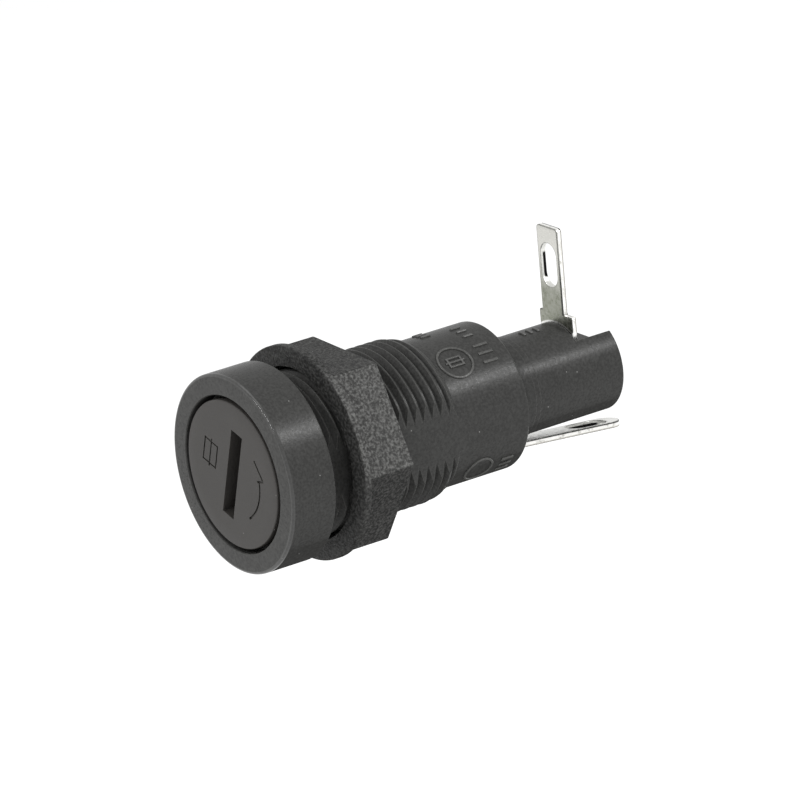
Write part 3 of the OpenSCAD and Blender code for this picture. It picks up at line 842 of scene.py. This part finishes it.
def carrier_cap():
    """The slotted knob of the fuse carrier, with its lugs and engraved marks."""
    disc_r, rear = CAP_HIGH.x, CAP_HIGH.y
    disc_rear = FACE_Y + 1.25
    profile = [(FACE_Y, 0), (FACE_Y, disc_r - 1)]
    profile += arc(disc_r - 0.1, FACE_Y + 0.1, 0.1, -90, 0, 5)
    profile += [(disc_rear, disc_r), (disc_rear, NECK_R)]
    profile += arc(NECK_R - 0.2, rear - 0.2, 0.2, 0, 90, 3)
    profile += [(rear, SOCKET_R + 0.15), (rear - 0.15, SOCKET_R), (SOCKET_FLOOR, SOCKET_R)]
    profile += [(SOCKET_FLOOR, 0)]
    lug_half = math.asin(LUG_HALF_W / LUG_R)
    tools = []
    for centre in (0, math.pi):
        lug = sector_bmesh(NECK_R - 0.3, LUG_R, *LUG_Y, centre - lug_half, centre + lug_half, 16)
        tools.append(("UNION", lug))
    slot_w, slot_depth, slot_l = DRIVER_SLOT
    slot = box_bmesh(
        (-slot_w / 2, FACE_Y - 1, -slot_l / 2), (slot_w / 2, FACE_Y + slot_depth, slot_l / 2), CAP_TURN)
    tools.append(("DIFFERENCE", slot))
    start, end = (CAP_TURN + math.radians(a) for a in (68.4, 132.4))
    half = MARK_LINE / 2
    shaft = sector_bmesh(
        ARROW_R - half, ARROW_R + half, FACE_Y - MARK_DEPTH, FACE_Y + MARK_DEPTH, start, end, 40)
    tools.append(("DIFFERENCE", shaft))
    tools.append(("DIFFERENCE", groove_line((3.35, 42.4), (3.8, 67))))
    tools.append(("DIFFERENCE", groove_line((3.8, 67), (3.1, 68.4))))
    tools += [("DIFFERENCE", line) for line in engraved_fuse_symbol()]
    shaped = combine(lathe(profile), tools)
    return finish_mesh("slotted_cap", shaped, "carrier", CAP_PLASTIC, ["carrier_cap"])


def engraved_fuse_symbol():
    """Cutters for the fuse symbol on the disc, which lies beside the screwdriver slot."""
    centre_r, centre_phi = 2.75, math.radians(-85)
    cutters = []
    for x, z, w, h in fuse_symbol(1.75, 1.5):
        bm = bmesh.new()
        bmesh.ops.create_cube(bm, size=1)
        centre = Vector(polar(centre_phi, centre_r, FACE_Y)) + Vector((x, 0, z))
        size = Matrix.Diagonal((w, 2 * MARK_DEPTH, h, 1))
        bm.transform(Matrix.Rotation(CAP_TURN, 4, "Y") @ Matrix.Translation(centre) @ size)
        cutters.append(bm)
    return cutters


def carrier_contact():
    """The carrier's metal sleeve, with a gripping bead and four fingers."""
    r_out, r_in = SLEEVE_HIGH.x, SLEEVE_HIGH.x - 0.32
    front, rear = SLEEVE_LOW.y, SLEEVE_HIGH.y
    grip, dip, reach = 3.8, 0.06, 0.6
    waves = np.linspace(-1, 1, 9)
    outside = [(grip + reach * t, r_out - dip * math.cos(t * math.pi / 2)**2) for t in waves]
    inside = [(grip + reach * t, r_in - dip * math.cos(t * math.pi / 2)**2) for t in waves[::-1]]
    profile = [(front, 0), (front, r_out - 0.12)]
    profile += arc(r_out - 0.12, front + 0.12, 0.12, -90, 0, 3)[1:]
    profile += outside + [(rear - 0.06, r_out), (rear, r_out - 0.06), (rear, r_in + 0.06)]
    profile += [(rear - 0.06, r_in)] + inside + [(front + 0.3, r_in), (front + 0.3, 0)]
    slits = []
    for turn in (45, 135):
        slit = box_bmesh((-0.25, 2.9, -10), (0.25, 20, 10), math.radians(turn))
        slits.append(("DIFFERENCE", slit))
    shaped = combine(lathe(profile, even_phis(160)), slits)
    return finish_mesh(
        "sleeve_contact", shaped, "carrier", NICKEL, ["carrier_contact"])


def fuse_pieces():
    """The glass tube and the two end caps of the fuse."""
    glass_r, bore_r = GLASS_HIGH.x, 1.75
    ends = (GLASS_LOW.y, GLASS_HIGH.y)
    profile = arc(glass_r - 0.2, ends[0] + 0.2, 0.2, -90, 0, 4)
    profile += arc(glass_r - 0.2, ends[1] - 0.2, 0.2, 0, 90, 4)
    profile += [(ends[1], bore_r + 0.1), (ends[1] - 0.1, bore_r)]
    profile += [(ends[0] + 0.1, bore_r), (ends[0], bore_r + 0.1)]
    finish_mesh("glass_tube", lathe(profile, even_phis(128)), "fuse", GLASS, ["fuse_tube"])
    cap_r, wall, end_t = FRONT_CAP_HIGH.x, 0.2, 0.25
    length = FRONT_CAP_HIGH.y - FRONT_CAP_LOW.y
    spots = (("front_end_cap", "fuse_front_cap", FRONT_CAP_LOW.y, 1),
             ("rear_end_cap", "fuse_rear_cap", REAR_CAP_HIGH.y, -1))
    for name, node, start, way in spots:
        profile = [(0, 0)] + arc(cap_r - 0.3, 0.3, 0.3, -90, 0, 5)
        profile += [(length - 0.06, cap_r), (length, cap_r - 0.05), (length, cap_r - wall)]
        profile += [(end_t, cap_r - wall), (end_t, 0)]
        placed = [(start + way * y, r) for y, r in profile]
        shape = lathe(placed, even_phis(128))
        finish_mesh(name, shape, "fuse", CAP_NICKEL, [node])


def rear_cup():
    """The sprung cup that presses on the fuse's rear cap."""
    r, wall, face_t = CUP_HIGH.x, 0.3, 0.4
    front, rear = CUP_LOW.y, CUP_HIGH.y
    profile = [(front, 0)] + arc(r - 0.25, front + 0.25, 0.25, -90, 0, 4)
    profile += [(rear - 0.05, r), (rear, r - 0.05), (rear, r - wall + 0.05), (rear - 0.05, r - wall)]
    profile += [(front + face_t, r - wall), (front + face_t, 0)]
    shape = lathe(profile, even_phis(128))
    finish_mesh("contact_cup", shape, "plunger", NICKEL, ["rear_contact_cup"])


def contact_spring():
    """The compression spring behind the cup, with closed ends."""
    wire_r, sides, steps = 0.22, 14, 320
    coil_r = COIL_HIGH.x - wire_r
    front, rear = COIL_LOW.y + wire_r, COIL_HIGH.y - wire_r
    turns = 6.0
    closed = 1 / turns
    bm = bmesh.new()
    rings = []
    for k in range(steps + 1):
        t = k / steps
        phi = TURN * turns * t
        middle = min(max((t - closed) / (1 - 2 * closed), 0), 1)
        rise = (min(t / closed, 1) + min(max((t - 1 + closed) / closed, 0), 1)) * wire_r
        y = front + rise + (rear - front - 2 * wire_r) * middle
        ring = []
        for c in range(sides):
            a = TURN * c / sides
            ring.append(bm.verts.new(polar(
                phi, coil_r + wire_r * math.cos(a), y + wire_r * math.sin(a))))
        rings.append(ring)
    close_rings(bm, rings)
    piece = finish_mesh(
        "contact_coil", bm, "holder", STEEL, ["rear_contact_spring"], math.radians(50))
    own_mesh(piece)
    return piece


def round_end(x, y, radius, start, end, steps=14):
    """Arc of an outline, with angles in degrees from +x towards +y."""
    return [(x + radius * math.cos(math.radians(a)), y + radius * math.sin(math.radians(a)))
            for a in np.linspace(start, end, steps + 1)]


def obround(x, low, high, width):
    """Round-ended slot outline that stands along y."""
    half = width / 2
    return round_end(x, high - half, half, 0, 180) + round_end(x, low + half, half, 180, 360)


def sheet_blank(outline, hole):
    """Flat sheet with softened edges from an outline and a hole, centred on z = 0."""
    edge_r = 0.05
    curve = bpy.data.curves.new("blank", "CURVE")
    curve.dimensions = "2D"
    curve.fill_mode = "BOTH"
    curve.extrude = SHEET_T / 2 - edge_r
    curve.bevel_depth = edge_r
    curve.bevel_resolution = 2
    curve.offset = -edge_r
    for points in (outline, hole):
        spline = curve.splines.new("POLY")
        spline.points.add(len(points) - 1)
        for point, (x, y) in zip(spline.points, points):
            point.co = (x, y, 0, 1)
        spline.use_cyclic_u = True
    shape = add_object("blank", curve)
    bpy.context.view_layer.update()
    ready = shape.evaluated_get(bpy.context.evaluated_depsgraph_get())
    mesh = bpy.data.meshes.new_from_object(ready)
    bm = bmesh.new()
    bm.from_mesh(mesh)
    bpy.data.objects.remove(shape)
    bmesh.ops.remove_doubles(bm, verts=bm.verts, dist=1e-4)
    return bm


def rear_terminal():
    """The plate in the tube with the upper solder tag."""
    half_plate, corner = PLATE_HIGH.x, 0.3
    top, bottom = PLATE_HIGH.z, PLATE_LOW.z
    left, right = TAG_SHIFT - TAG_HALF_W, TAG_SHIFT + TAG_HALF_W
    outline = [(-half_plate, bottom), (half_plate, bottom)]
    outline += round_end(half_plate - 0.1, TAG_SHOULDER - 0.1, 0.1, 0, 90, 4)
    outline += [(right + 0.12, TAG_SHOULDER), (right + 0.03, TAG_SHOULDER + 0.04)]
    outline += [(right, TAG_SHOULDER + 0.14)]
    outline += round_end(right - corner, top - corner, corner, 0, 90, 6)
    outline += round_end(left + corner, top - corner, corner, 90, 180, 6)
    outline += [(left, TAG_SHOULDER + 0.14), (left - 0.03, TAG_SHOULDER + 0.04)]
    outline += [(left - 0.12, TAG_SHOULDER)]
    outline += round_end(-half_plate + 0.1, TAG_SHOULDER - 0.1, 0.1, 90, 180, 4)
    high = top - UPPER_HOLE_INSET
    hole = obround(TAG_SHIFT, high - TAG_HOLE_L, high, TAG_HOLE_W)
    bm = sheet_blank(outline, hole)
    place = Matrix.Translation((0, (PLATE_LOW.y + PLATE_HIGH.y) / 2, 0))
    bm.transform(place @ Matrix.Rotation(math.pi / 2, 4, "X"))
    return finish_mesh("upper_tag", bm, "holder", UPPER_TIN, ["rear_terminal"])


def side_path():
    """Middle line of the side terminal seen from the side, as (y, z) points from its tongue to its tip."""
    touch = -3.05 - SHEET_T / 2
    flat = (STRIP_TOP + STRIP_LOW) / 2
    bend = BARREL_END + BEND_GAP
    tag_l = SIDE_HIGH.y - SHEET_T / 2 * math.sin(SIDE_SPLAY) - bend
    tip = (bend + tag_l, flat - tag_l * math.tan(SIDE_SPLAY))
    return [(TONGUE_START, touch - 0.42), (6.2, touch), (6.85, touch), (9.4, flat), (bend, flat), tip]


def rounded_path(points):
    """Replaces each inner corner of a path by a smooth curve."""
    radius, steps = 0.9, 8
    made = [Vector(points[0])]
    for before, corner, after in zip(points, points[1:], points[2:]):
        before, corner, after = Vector(before), Vector(corner), Vector(after)
        reach_in = min(radius, (corner - before).length * 0.45)
        reach_out = min(radius, (after - corner).length * 0.45)
        start = corner + (before - corner).normalized() * reach_in
        end = corner + (after - corner).normalized() * reach_out
        for k in range(steps + 1):
            t = k / steps
            made.append(start * (1 - t)**2 + corner * 2 * t * (1 - t) + end * t**2)
    made.append(Vector(points[-1]))
    return made


def bend_along(bm, path):
    """Bends a flat sheet, whose length lies along y from 0, to follow a path in the YZ plane."""
    lengths = [0.0]
    for a, b in zip(path, path[1:]):
        lengths.append(lengths[-1] + (b - a).length)
    for s in lengths[1:-1]:
        geometry = bm.verts[:] + bm.edges[:] + bm.faces[:]
        bmesh.ops.bisect_plane(bm, geom=geometry, plane_co=(0, s, 0), plane_no=(0, 1, 0), dist=1e-4)
    directions = [(b - a).normalized() for a, b in zip(path, path[1:])]
    corners = [directions[0]]
    corners += [(a + b).normalized() for a, b in zip(directions, directions[1:])]
    corners += [directions[-1]]
    for vert in bm.verts:
        s = min(max(vert.co.y, 0.0), lengths[-1])
        k = min(int(np.searchsorted(lengths, s, side="right")) - 1, len(path) - 2)
        share = (s - lengths[k]) / (lengths[k + 1] - lengths[k])
        middle = path[k].lerp(path[k + 1], share)
        along = corners[k].lerp(corners[k + 1], share).normalized()
        place = middle + Vector((-along.y, along.x)) * vert.co.z
        vert.co = (vert.co.x, place.x, place.y)


def side_terminal():
    """The strip in the barrel bore with the side solder tag."""
    path = rounded_path(side_path())
    total = sum((b - a).length for a, b in zip(path, path[1:]))
    wide, narrow = STRIP_HALF_W, TAG_HALF_W
    wide_start = 9.6 - TONGUE_START
    wide_end = total - (SIDE_HIGH.y - (BORE_END - 0.15)) - 0.04
    right = [(narrow, 0.25), (narrow, wide_start), (wide, wide_start), (wide, wide_end)]
    right += [(narrow, wide_end)]
    outline = [(-narrow + 0.25, 0), (narrow - 0.25, 0)] + right
    outline += round_end(0, total - narrow, narrow, 0, 180, 28)
    outline += [(-x, y) for x, y in reversed(right)]
    high = total - SIDE_HOLE_INSET
    hole = obround(0, high - TAG_HOLE_L, high, TAG_HOLE_W)
    bm = sheet_blank(outline, hole)
    bend_along(bm, path)
    bm.transform(Matrix.Rotation(SIDE_TURN, 4, "Y"))
    return finish_mesh("side_tag", bm, "holder", SIDE_TIN, ["side_terminal"])


def small_cad_pieces():
    """Materials for the CAD nodes that stay as they are."""
    for node, material in (
            ("fuse_wire", WIRE), ("fuse_front_solder", SOLDER), ("fuse_rear_solder", SOLDER)):
        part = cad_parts[node]
        part.data.materials.clear()
        part.data.materials.append(material)


# ---- Stage, light and camera ----

AIM = Vector((5.7, 7.0, 3.95)) * MM
VIEW_AZIMUTH = math.radians(55.7)
VIEW_ELEVATION = math.radians(19.04)
VIEW_ROLL = math.radians(-4.97)
VIEW_DISTANCE = 0.5
VIEW_LENS = 323.9


def aim_at(made, right, up, back, distance):
    """Places a camera or light at a distance from the object, with its own three axes given."""
    made.matrix_world = Matrix((right, up, back)).transposed().to_4x4()
    made.location = AIM + back * distance


def soft_light(name, direction, distance, size, power, along=(1, 0, 0)):
    """Area light that shines on the object from a direction, with its first side along another."""
    light = bpy.data.lights.new(name, "AREA")
    light.shape = "RECTANGLE"
    light.size, light.size_y = size
    light.energy = power
    made = add_object(name, light)
    back = Vector(direction).normalized()
    across = back.cross(Vector(along)).normalized()
    along = across.cross(back)
    aim_at(made, along, across, back, distance)


def camera():
    """Long-lens camera at a three-quarter view from the front, with a slight roll."""
    data = bpy.data.cameras.new("camera")
    data.lens = VIEW_LENS
    data.sensor_width = 36
    data.clip_start, data.clip_end = 0.01, 10
    made = add_object("camera", data)
    flat = math.cos(VIEW_ELEVATION)
    back = Vector((math.sin(VIEW_AZIMUTH) * flat, -math.cos(VIEW_AZIMUTH) * flat,
                   math.sin(VIEW_ELEVATION)))
    level = Vector((math.cos(VIEW_AZIMUTH), math.sin(VIEW_AZIMUTH), 0))
    upright = back.cross(level)
    right = level * math.cos(VIEW_ROLL) + upright * math.sin(VIEW_ROLL)
    up = back.cross(right)
    aim_at(made, right, up, back, VIEW_DISTANCE)
    bpy.context.scene.camera = made


def studio():
    """Pale floor, pale surroundings and soft lights."""
    floor_z = -0.06
    bm = bmesh.new()
    bmesh.ops.create_grid(bm, x_segments=1, y_segments=1, size=6)
    bm.transform(Matrix.Translation((0, 0, floor_z)))
    mesh = bpy.data.meshes.new("floor")
    bm.to_mesh(mesh)
    bm.free()
    floor = add_object("floor", mesh)
    material, shader = new_material("floor")
    tone = mixed_colour(material, noise(material, 0.004, 2), (0.82, 0.82, 0.82), (0.85, 0.85, 0.85))
    feed(material, shader, [("Base Color", tone), ("Roughness", 0.9)])
    floor.data.materials.append(material)
    world = bpy.data.worlds.new("studio")
    world.use_nodes = True
    feed(world, world.node_tree.nodes["Background"], [("Color", (1, 1, 1, 1)), ("Strength", 1.0)])
    bpy.context.scene.world = world
    soft_light("key", (0.58, 0.53, 0.62), 0.35, (0.04, 0.04), 0.62)
    soft_light("top", (-0.2, -0.1, 1.0), 0.45, (0.3, 0.3), 0.33)
    soft_light("edge", (0.045, -0.751, 0.658), 0.4, (0.22, 0.012), 0.45, (0.88, -0.283, -0.38))
    bpy.context.scene.view_settings.view_transform = "Standard"


camera()
holder_body()
raised_marks()
hex_nut()
carrier_cap()
carrier_contact()
fuse_pieces()
rear_cup()
contact_spring()
rear_terminal()
side_terminal()
small_cad_pieces()
studio()
